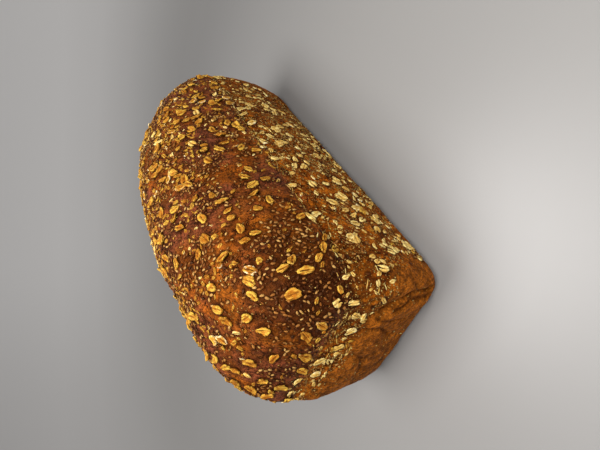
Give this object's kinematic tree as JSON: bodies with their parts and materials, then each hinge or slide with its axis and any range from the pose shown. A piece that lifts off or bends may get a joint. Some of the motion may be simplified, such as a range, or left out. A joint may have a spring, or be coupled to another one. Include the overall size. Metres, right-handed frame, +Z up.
{
  "type": "tin loaf",
  "caption": "Whole wholemeal loaf baked in a long tin, with straight walls, a high dome and rolled oats on its crust.",
  "frame": {"origin": "middle of the flat base that the loaf rests on", "axes": "+X along the loaf, with the end that shows the folded dough at -X; +Y across it, with the side that shows the pale oats at -Y; +Z up"},
  "size_m": [0.2513, 0.107, 0.1331],
  "materials": {
    "crust": "matte"
  },
  "bodies": {
    "root": {"loaf": "crust"}
  },
  "joints": []
}
